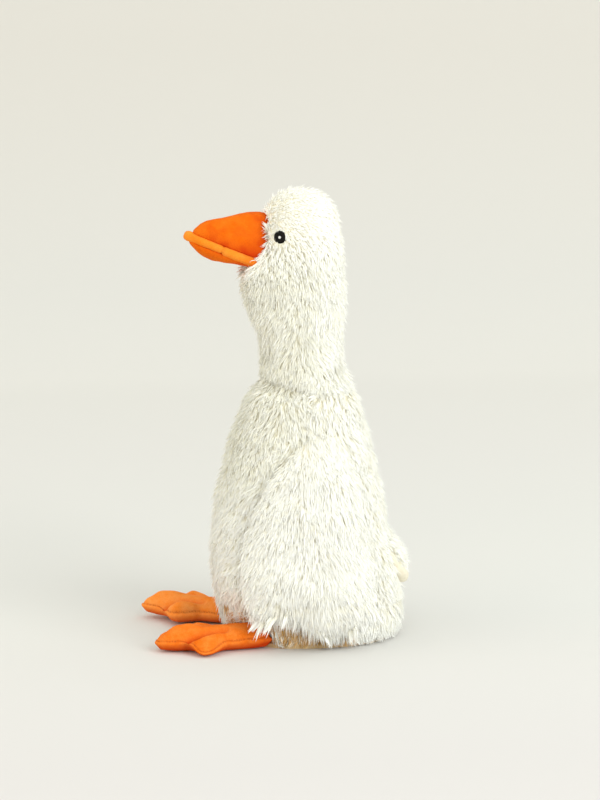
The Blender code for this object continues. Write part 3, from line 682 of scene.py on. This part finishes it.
class Coat:
    """How the pile lies on each part of the goose.

    Each habit takes a place and its outward direction, and gives a tuft's way, length, lift, hang, loose
    share and painted shade, with lengths in millimetres. It gives None where no tuft grows.
    """

    def __init__(self):
        self.eyes = []
        for side, _ in SIDES:
            low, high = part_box(f"eye_{side}")
            self.eyes.append((Vector(low) + Vector(high)) / 2 + Vector((0, 0, 1.5 * MM)))
        self.beak = solid_tree(*BEAK_NODES)
        self.feet = solid_tree(*FEET_NODES)
        self.wings = [solid_tree(f"wing_{side}") for side, _ in SIDES]
        self.tail = solid_tree("tail_top", "tail_lining")
        self.tail_tip = local(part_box("tail_top")[1])[1]

    @staticmethod
    def near(tree, place, reach):
        """Whether a solid lies within reach millimetres."""
        return tree.find_nearest(place, reach * MM)[0] is not None

    def under_wing(self, place, outward):
        """Whether a wing lies right over this place."""
        return any(tree.ray_cast(place, outward, 16 * MM)[0] is not None for tree in self.wings)

    def torso(self, place, outward):
        """Long tufts down the torso, shorter at its hem, where its tan strands are partly painted shade and
        partly a tan of the pile. Off-white strands high on the chest's front are painted shade.
        """
        x, y, z = local(place)
        if z > fold_height(y) - 1 or z < 2.5:
            return None
        if self.near(self.feet, place, 2.0):
            return None
        if 45 < z < 146 and self.under_wing(place, outward):
            return None
        if self.near(self.tail, place, 1.5):
            return None
        way = Vector((0.0, 0.010 * y if y < 0 else 0.006 * y, -1.0))
        way += swirl(place, 20, 0.9, 0.0)
        length, lift, loose, shade = 11.5, 2.7, 0.15, WHITE
        if z < 30:
            length, lift, loose = 8.0 + z * 0.2, 1.5 + z * 0.08, 0.25
            # Tan under the wing: partly painted shade with warm bounce, partly a tan of the pile
            shade = TAN_AND_PAINTED_SHADE if abs(x) > 12 and y < 26 else WHITE
            way = Vector((0, 0, -1)) + swirl(place, 14, 0.5, 0.0)
            if z < 14:
                way += outward * 0.5
                loose = 0.9
            if y > 20:
                length += 3.0
                lift += 1.5
        if z > 90:
            # Painted shade: off-white strands on the chest's upper front, which faces away from the key
            shade = 0.7 * eased(z, 90, 140) * (1 - eased(y, -12, 18))
        if z > 168:
            length = 11.0
        return way, length, lift, 0.25, loose, shade

    def neck(self, place, outward):
        """Tufts down the neck, short at the fold so that it shows, and off-white on its front as painted
        shade.
        """
        _, y, z = local(place)
        fold = fold_height(y)
        if z < fold + 1 or z > HEAD_SEAM:
            return None
        way = Vector((0.0, 0.006 * y, -1.0)) + swirl(place, 15, 0.85, 4.0)
        length = min(10.5, 5.0 + (z - fold) * 0.5)
        return way, length, 2.5, 0.25, 0.15, 0.8 * (1 - eased(y, -12, 26))

    def head(self, place, outward):
        """Tufts back over the crown and down the cheeks, which leave the eyes and the beak free. Low on the
        front of the cheeks some strands are off-white as painted shade.
        """
        _, y, z = local(place)
        if z < FACE_START:
            return None
        if self.near(self.beak, place, 0.5):
            return None
        to_eye = min((eye - place for eye in self.eyes), key=lambda gap: gap.length)
        if to_eye.length < 5.0 * MM:
            return None
        crown = min(1.0, max(0.0, (z - 284) / 22))
        way = Vector((0.0, 0.75 * crown + 0.15, -0.3 - max(0.0, (302 - z) / 25)))
        way += swirl(place, 18, 0.35, 9.0)
        length, lift = 9.0 - 3.2 * crown, 2.8 - 1.6 * crown
        if y < -4:
            length *= 0.85
        if way.dot(to_eye) > 0:
            length = min(length, max(2.5, to_eye.length / MM - 4.9))
            lift = min(lift, 0.25 * length)
        return way, length, lift, 0.2, 0.1, 0.8 * (1 - eased(z, 264, 300)) * (1 - eased(y, -6, 26))

    def beak_fringe(self, place, outward):
        """Bristles from the face that lie forward over the beak's rear edge, and short ones on the chin."""
        x, _, z = local(place)
        away = self.beak.find_nearest(place)[3] / MM
        if away < 0.3 or away > 4.5 or z < FACE_START:
            return None
        if z < 270 or outward.z < -0.3 or (z < 284 and abs(x) < 13):
            way = Vector((0.05 * x, -0.3, 0.3)) + swirl(place, 6, 0.4, 30.0)
            return way, 2.8, 0.9, 0.0, 0.0, WHITE
        low = eased(312 - z, 0, 36)
        way = Vector((0, -1.0, 0.1 - 0.45 * low)) + swirl(place, 6, 0.5, 30.0)
        return way, 8.0 + 5.0 * low, 1.6 + 1.4 * low, 0.05, 0.15, WHITE

    def ankle_fringe(self, place, outward):
        """Bristles from the torso's hem that lie over the feet's heels, tan at the bottom: partly painted
        shade, partly a tan of the pile.
        """
        _, y, z = local(place)
        away = self.feet.find_nearest(place)[3] / MM
        if away > 11 or z > 26 or y > -27 or (z < 6 and y > -34):
            return None
        heel = eased(y, -45, -28)
        way = Vector(((0.4 + 0.9 * heel) * outward.x, 0.6 * heel - 1.0, -0.4 - 0.3 * heel))
        way += swirl(place, 8, 0.5, 40.0)
        return way, 9.0 + 6.0 * heel, 3.0, 0.5, 0.35, TAN_AND_PAINTED_SHADE if z < 7 else WHITE

    def wing(self, place, outward):
        """Tufts down the wing's outer face, longest at its shaggy hem."""
        x, y, z = local(place)
        if outward.x * (1 if x > 0 else -1) < -0.3:
            return None
        low = 1 - eased(z, 60, 120)
        way = Vector((0.0, (0.006 + 0.013 * low) * (y + 6 * low), -1.0))
        way += swirl(place, 20, 0.6, 14.0) * (0.45 + z / 200)
        length, lift, loose = 12.0, 2.8 - 1.3 * eased(z, 125, 155), 0.1
        if z < 42:
            length = 17.0 + 3.0 * hill(y + 27, 8) - 4.0 * eased(-y, 33, 41)
            lift, loose = 3.0, 0.2
        return way, length, lift, 0.5, loose, WHITE

    def tail_top(self, place, outward):
        """Tufts back along the tail, shorter towards its smooth end."""
        _, y, _ = local(place)
        if outward.z < -0.5 or y > self.tail_tip - 8:
            return None
        way = Vector((0.0, 0.6, -0.7)) + swirl(place, 12, 0.5, 20.0)
        length = 9.0 - 4.0 * eased(y, self.tail_tip - 14, self.tail_tip - 6)
        return way, length, 2.6, 0.1, 0.2, WHITE


def on_side(habit, sign):
    """The habit on one side of the goose only."""
    return lambda place, outward: habit(place, outward) if (place.x - MIDDLE) * sign > 0 else None


def joined_cloth(body, backing, nodes):
    """The body's cloth together with some CAD solids, as strands lie over both."""
    guide = new_piece("guide", merged_copy(*nodes), backing)
    both = Cloth(body, guide)
    bpy.data.objects.remove(guide)
    return both


def grow_coat(body, wings, tail, pile, backing):
    """The goose's whole pile, with its fringes over the heels and the beak."""
    coat = Coat()
    body_cloth = Cloth(body)
    whole = Cloth(body, *wings)
    face = joined_cloth(body, backing, BEAK_NODES)
    heels = joined_cloth(body, backing, FEET_NODES)
    for (side, sign), seed in zip(SIDES, (11, 12)):
        habit = on_side(coat.torso, sign)
        grow_pile(f"torso_pile_{side}", body_cloth, whole, habit, 38000, seed, pile, turning=0.25)
    grow_pile("neck_pile", body_cloth, body_cloth, coat.neck, 30000, 13, pile)
    grow_pile("head_pile", body_cloth, face, coat.head, 32000, 14, pile, clump=0.3, stray=0.6)
    habit = coat.ankle_fringe
    grow_pile("ankle_fringe", body_cloth, heels, habit, 5000, 19, pile, spacing=2.2, clump=0.6)
    habit = coat.beak_fringe
    grow_pile("beak_fringe", body_cloth, face, habit, 5000, 18, pile, spacing=1.8, clump=0.6, stray=0.6)
    for (side, _), wing, seed in zip(SIDES, wings, (15, 16)):
        cloth = Cloth(wing)
        grow_pile(f"wing_pile_{side}", cloth, cloth, coat.wing, 28000, seed, pile, spacing=2.2, clump=0.15)
    tail_cloth = Cloth(tail)
    grow_pile("tail_pile", tail_cloth, tail_cloth, coat.tail_top, 6000, 17, pile, spacing=2.7)


# The feet


class Foot:
    """One webbed foot with three stuffed toes, and the forms on it that its two solids don't have."""

    def __init__(self, nodes, sign, front, splay, pitch):
        self.sign = sign
        self.slope = math.tan(math.radians(pitch))
        self.seam = seam_line(*nodes, 0.6)
        course = math.radians(-90 + sign * splay)
        self.ahead = Vector((math.cos(course), math.sin(course)))
        self.web = Vector((sign * 33, -front)) + self.ahead * 43

    def on_foot(self, place):
        """The place in millimetres from the middle of the web: ahead, aside and over the seam."""
        x, y, z = local(place)
        flat = Vector((x, y)) - self.web
        u = flat.dot(self.ahead)
        return u, flat.x * -self.ahead.y + flat.y * self.ahead.x, z - 7 - (u + 43) * self.slope

    @staticmethod
    def valley(u, v):
        """How far back a place is, from 0 at the web's edge to 1 at its root, and how far from a valley."""
        back = min(1.0, max(0.0, (22 - u) / 34))
        return back, abs(v) - (13.4 - 6.0 * back)

    def toes(self, place, u, v, over):
        """How far a place on top is lifted: domed toes, sunk valleys between them and folds behind."""
        back, off = self.valley(u, v)
        open_end = 1 - eased(u, 22, 27)
        sunk = math.sqrt(1 - back) * hill(off, 4.2 - 1.8 * back) * 0.95 * open_end
        crisp = (1 - eased(back, 0.5, 1.0)) * hill(off, 1.4) * 1.6 * open_end
        ridge = 27 - 0.6 * (9.5 - u)
        domed = hill(v, 6.0) * (0.25 * eased(u, 4, 18) - 0.6 * eased(u, 24, 41))
        domed += hill(abs(v) - ridge, 5.0) * eased(u, -16, 0) * (0.4 if v > 0 or self.sign < 0 else -0.3)
        fold = noise.noise(place / (9 * MM) + Vector((self.sign, 2, 5))) * eased(12 - u, 0, 10)
        return over * (domed - sunk) - crisp + 0.9 * fold

    def shape(self, place, outward):
        """The move of a place: puckers and a ditch along the seam, the toes, and the near foot's droop."""
        u, v, over = self.on_foot(place)
        level, spot, away = self.seam(place)
        pucker = noise.noise(spot / (3.0 * MM)) * hill(away - 3, 3.5) * 0.5
        move = outward * (pucker + 0.35 * hill(away, 0.9) - 0.55 * hill(level - 2.3, 1.1))
        if over > 0 and outward.z > -0.2:
            move.z += self.toes(place, u, v, over)
        if self.sign > 0:
            move.z += 2.2 * hill(u - 19, 6) * hill(v - 13, 6)
            droop = eased(v, 11, 26) * hill(u - 8, 15)
            move.z -= 0.55 * droop * (place.z / MM + move.z)
        return move

    def marks(self, place):
        """The seam's thread, and painted shade: in the valleys, low on the sides and at the ankle under the
        fur.
        """
        u, v, over = self.on_foot(place)
        back, off = self.valley(u, v)
        # Painted shade in the valleys between the toes, low on the sides and at the ankle
        valley = 0.95 * math.sqrt(1 - back) * hill(off, 2.4) * eased(over, 0, 2)
        low = 0.8 * (1 - eased(over, -5, 1.5))
        ankle = 0.6 * (1 - eased(u, -46, -18))
        return 0.65 * hill(self.seam(place)[0] - 2.3, 0.6), valley + low + ankle


def stuff_foot(side, sign, suede, front, splay, pitch):
    """A foot that starts front millimetres ahead, turned out by splay and up by pitch degrees."""
    nodes = (f"foot_{side}_upper", f"foot_{side}_sole")
    piece = smooth_form(f"foot_{side}", nodes, 0.85, 3, suede)
    foot = Foot(nodes, sign, front, splay, pitch)
    reshaped(piece, foot.shape, foot.marks)
    for vert in piece.data.vertices:
        vert.co.z = max(vert.co.z, 0.1 * MM)
    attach(piece, "root")


# The beak


def on_beak(place):
    """The place in millimetres along the mouth from its corner, and above it."""
    _, y, z = local(place)
    ahead, above = -y - MOUTH_AHEAD, z - MOUTH_HEIGHT
    along = ahead * math.cos(MOUTH_RISE) + above * math.sin(MOUTH_RISE)
    return along, above * math.cos(MOUTH_RISE) - ahead * math.sin(MOUTH_RISE)


def jaw_shape(place, outward):
    """A jaw's slack cloth, with slight wrinkles."""
    wrinkle = noise.noise(place / (7 * MM)) * 0.35
    return outward * (0.35 + wrinkle)


def jaw_marks(place):
    """Painted shade along the mouth and at the face, and darker patches as painted shade in dents."""
    along, above = on_beak(place)
    painted_dent_shade = 0.25 * eased(noise.noise(place / (8 * MM)), 0.0, 0.5)
    return 0.0, 0.6 * hill(above, 6) * (1 - eased(along, 26, 48)) + 0.5 * (1 - eased(along, 0, 18)) + painted_dent_shade


def lip_shape(place, outward):
    """The lip's fuller rear half, and the notch on its side."""
    along, _ = on_beak(place)
    tuck = hill(along - 24, 0.9) * -0.7
    rear = 0.45 * (1 - eased(along, 22.5, 24.5))
    wrinkle = noise.noise(place / (4 * MM)) * 0.25
    move = outward * (0.75 + tuck + rear + wrinkle)
    move.z -= 0.5 * (1 - eased(along, 22.5, 24.5))
    return move


def lip_marks(place):
    """A trace of thread in the notch, and painted shade at the mouth's corner."""
    along, _ = on_beak(place)
    return 0.3 * hill(along - 24, 0.6), 0.3 * (1 - eased(along, 2, 14))


def stuff_beak(suede, lip_suede):
    """The two jaws and the padded lip between them."""
    for name, node, finish, shape, marks in (
        ("upper_beak", "beak_upper", suede, jaw_shape, jaw_marks),
        ("lower_beak", "beak_lower", suede, jaw_shape, jaw_marks),
        ("beak_lip_roll", "beak_lip", lip_suede, lip_shape, lip_marks),
    ):
        piece = smooth_form(name, (node,), 1.0, 2, finish)
        reshaped(piece, shape, marks)
        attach(piece, "root")


# The eyes


def stitched_disc(rings, stitches):
    """A closed disc of satin stitches. rings are (radius, height) in millimetres, from inside outwards."""
    build = bmesh.new()
    bmesh.ops.create_circle(build, cap_ends=False, segments=stitches, radius=rings[0][0] * MM)
    bmesh.ops.translate(build, verts=build.verts, vec=(0, 0, rings[0][1] * MM))
    ring = list(build.edges)
    for radius, height in rings[1:]:
        grown = bmesh.ops.extrude_edge_only(build, edges=ring)["geom"]
        verts = [g for g in grown if isinstance(g, bmesh.types.BMVert)]
        ring = [g for g in grown if isinstance(g, bmesh.types.BMEdge) and g.is_boundary]
        ring = [e for e in ring if e.verts[0] in verts and e.verts[1] in verts]
        for vert in verts:
            vert.co.xy = vert.co.xy.normalized() * radius * MM
            vert.co.z = height * MM
    bmesh.ops.holes_fill(build, edges=build.edges, sides=0)
    bmesh.ops.recalc_face_normals(build, faces=build.faces)
    for vert in build.verts:
        number = round(math.atan2(vert.co.y, vert.co.x) / math.tau * stitches)
        if vert.co.z > 0.3 * MM:
            vert.co.z += (0.11 if number % 2 else -0.06) * MM
            vert.co.xy *= 1.0 + 0.02 * math.sin(number * 2.3)
    return build


def stitch_eye(side, sign, black, white):
    """An embroidered eye: a ring of radial satin stitches round a white knot."""
    places = np.array([tuple(v.co) for v in bpy.data.objects[f"eye_{side}"].data.vertices])
    centre = (places.min(0) + places.max(0)) / 2 + np.array((0, 0, 1.5 * MM))
    facing = Vector(np.linalg.svd(places - places.mean(0), full_matrices=False)[2][2])
    if facing.x * sign < 0:
        facing.negate()
    turn = facing.to_track_quat("Z", "Y").to_matrix().to_4x4()
    ring_form = ((1.0, -0.2), (1.2, 0.75), (2.3, 1.15), (3.6, 1.05), (4.5, 0.55), (4.85, -0.5))
    knot_form = ((0.3, 1.1), (0.7, 1.0), (1.0, 0.75), (1.2, 0.1))
    for part, rings, stitches, finish in (("ring", ring_form, 84, black), ("knot", knot_form, 20, white)):
        build = stitched_disc(rings, stitches)
        bmesh.ops.transform(build, verts=build.verts, matrix=Matrix.Translation(centre) @ turn)
        piece = new_piece(f"eye_{part}_{side}", build, finish)
        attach(piece, "root")
    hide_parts(f"eye_{side}")
    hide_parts(f"eye_glint_{side}")


# The goose


def dress_goose():
    """Every piece of the goose, in place of its solids."""
    pile = long_pile()
    backing = pile_backing("cream_pile_backing", "F9F2DA", "FFFCF0")
    # Base panel cloth: darker tan, partly painted shade on the goose's underside, partly a tan of the
    # fabric
    base_cloth = pile_backing("tan_and_painted_shade_base_cloth", "C8A676", "DCC092")
    suede = suede_cloth("orange_suede_cloth", "B84800", "E86600", "F68018")
    lip_suede = suede_cloth("lighter_suede_cloth", "D0680E", "F6881C", "FDA042")
    # The two feet's suede are lit and shaded copies: the far foot's lighter colours are painted light
    # against the body's shadow
    near_suede = suede_cloth("near_foot_suede_cloth", "C85204", "EC7010", "FC9A46", seam="A03808")
    far_suede = suede_cloth("far_foot_suede_cloth_painted_light", "E47420", "FC8A2C", "FFB064", "D84A08", "A03808")
    cream = velour()
    black = thread("black_satin_stitch", "050404", "191512")
    white = thread("white_satin_stitch", "EDEBE4", "FFFFFF")

    body = stuff_body(backing)
    wings = [stuff_wing(side, sign, backing) for side, sign in SIDES]
    tail = stuff_tail(backing)
    for piece in (body, *wings, tail):
        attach(piece, "root")
    grow_coat(body, wings, tail, pile, backing)

    stuff_foot("left", 1, near_suede, front=31, splay=5, pitch=0)
    stuff_foot("right", -1, far_suede, front=38, splay=22, pitch=2)
    stuff_beak(suede, lip_suede)
    for side, sign in SIDES:
        stitch_eye(side, sign, black, white)
    stuff_tail_end(cream)
    # The base panel takes the tan cloth, whose darkness is partly painted shade
    slots = bpy.data.objects["base_panel"].data.materials
    slots.clear()
    slots.append(base_cloth)


# The studio


def aim_camera(scene):
    """The photograph's camera."""
    level = math.cos(ELEVATION)
    direction = Vector((math.sin(AZIMUTH) * level, -math.cos(AZIMUTH) * level, math.sin(ELEVATION)))
    lens = bpy.data.cameras.new("camera")
    lens.sensor_fit = "VERTICAL"
    lens.sensor_height = SENSOR
    lens.lens = LENS
    lens.shift_x, lens.shift_y = (pixels / PICTURE_HEIGHT for pixels in SHIFT_PIXELS)
    camera = bpy.data.objects.new("camera", lens)
    camera.location = Vector((0, AXIS, AIM_HEIGHT)) + direction * DISTANCE
    camera.rotation_euler = (-direction).to_track_quat("-Z", "Y").to_euler()
    scene.collection.objects.link(camera)
    scene.camera = camera


def ivory_paper():
    """Matt studio paper in a near-even warm grey. Its colour changes a little from the paper's front to its
    back: painted light and shade that sets how bright each part of the sweep looks.
    """
    paper, tree, shader = new_material("ivory_paper", 0.95)
    place = add_node(tree, "ShaderNodeTexCoord").outputs["Object"]
    parts = add_node(tree, "ShaderNodeSeparateXYZ", {"Vector": place})
    back = add_node(tree, "ShaderNodeMapRange", {"Value": parts.outputs["X"], 1: 0.6, 2: -2.2})
    # Painted light and shade: the paper's colour steps, front to back
    front_to_back = (
        (0.1, "DBD7D5"),
        (0.24, "E0DEDA"),
        (0.34, "DFDDD9"),
        (0.47, "E1DEDA"),
        (0.64, "E4E1DC"),
        (0.75, "DDDAD5"),
        (0.9, "D8D3CC"),
    )
    tint = add_node(tree, "ShaderNodeValToRGB", {"Fac": back.outputs[0]}, front_to_back)
    tree.links.new(tint.outputs["Color"], shader.inputs["Base Color"])
    shader.inputs["Specular IOR Level"].default_value = 0.2
    return paper


def hang_paper():
    """A paper sweep: a floor that curves up into a backdrop, from a bevelled line, in metres."""
    build = bmesh.new()
    ends = [(2.6, 0.0), (-2.2, 0.0), (-2.2, 3.0)]
    verts = [build.verts.new((x, -3.5, z)) for x, z in ends]
    for low, high in zip(verts, verts[1:]):
        build.edges.new((low, high))
    bmesh.ops.bevel(
        build,
        geom=[verts[1]],
        offset=1.1,
        offset_type="OFFSET",
        segments=24,
        profile=0.5,
        affect="VERTICES",
        material=-1,
    )
    made = bmesh.ops.extrude_edge_only(build, edges=build.edges)["geom"]
    bmesh.ops.translate(build, verts=[g for g in made if isinstance(g, bmesh.types.BMVert)], vec=(0, 7, 0))
    bmesh.ops.recalc_face_normals(build, faces=build.faces)
    if build.faces[0].normal.z < 0:
        bmesh.ops.reverse_faces(build, faces=build.faces)
    new_piece("paper_sweep", build, ivory_paper())


def soft_light(scene, name, place, aim, size, power, colour):
    """A square soft light aimed at a point, in metres and watts."""
    lamp = bpy.data.lights.new(name, "AREA")
    lamp.size = size
    lamp.energy = power
    lamp.color = linear(colour)[:3]
    holder = bpy.data.objects.new(name, lamp)
    holder.location = place
    holder.rotation_euler = (Vector(aim) - Vector(place)).to_track_quat("-Z", "Y").to_euler()
    scene.collection.objects.link(holder)


def stage_scene():
    """The paper sweep, a white sky, a soft key from behind and above, and a weak warm fill in front."""
    scene = bpy.context.scene
    scene.view_settings.view_transform = "Standard"
    aim_camera(scene)
    hang_paper()
    world = bpy.data.worlds.new("studio")
    world.use_nodes = True
    scene.world = world
    sky = world.node_tree.nodes["Background"]
    sky.inputs["Color"].default_value = linear("FAFFFC")
    sky.inputs["Strength"].default_value = 1.02
    aim = (0, AXIS, 0.12)
    soft_light(scene, "key", (2.4, 2.0, 1.5), aim, size=2.4, power=63.0, colour="FDFFFB")
    aim = (0, AXIS - 0.06, 0.04)
    soft_light(scene, "fill", (0.5, -1.6, 0.8), aim, size=1.4, power=5.0, colour="FFE6C0")


dress_goose()
stage_scene()
